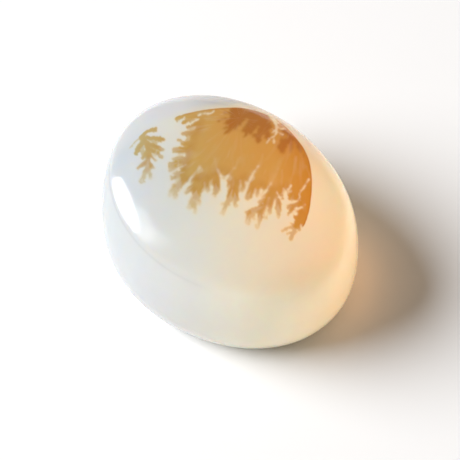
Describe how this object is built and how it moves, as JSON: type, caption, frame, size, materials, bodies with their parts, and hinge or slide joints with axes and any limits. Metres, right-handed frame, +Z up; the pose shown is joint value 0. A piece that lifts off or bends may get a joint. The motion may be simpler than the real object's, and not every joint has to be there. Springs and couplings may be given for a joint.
{
  "type": "dendritic agate specimen",
  "caption": "Polished oval stone of milky agate with a domed crown, a rounded shoulder and a flat spot underneath, marked with brown fern-like dendrites.",
  "frame": {"origin": "under the middle of the stone, on the surface that it stands on", "axes": "+Z up through the crown, +X along the stone's longer side, +Y across it"},
  "size_m": [0.042, 0.0338, 0.0178],
  "materials": {
    "polished_agate": "translucent milky chalcedony, high polish, brown dendrites inside"
  },
  "bodies": {
    "root": {"agate_stone": "polished_agate"}
  },
  "joints": []
}
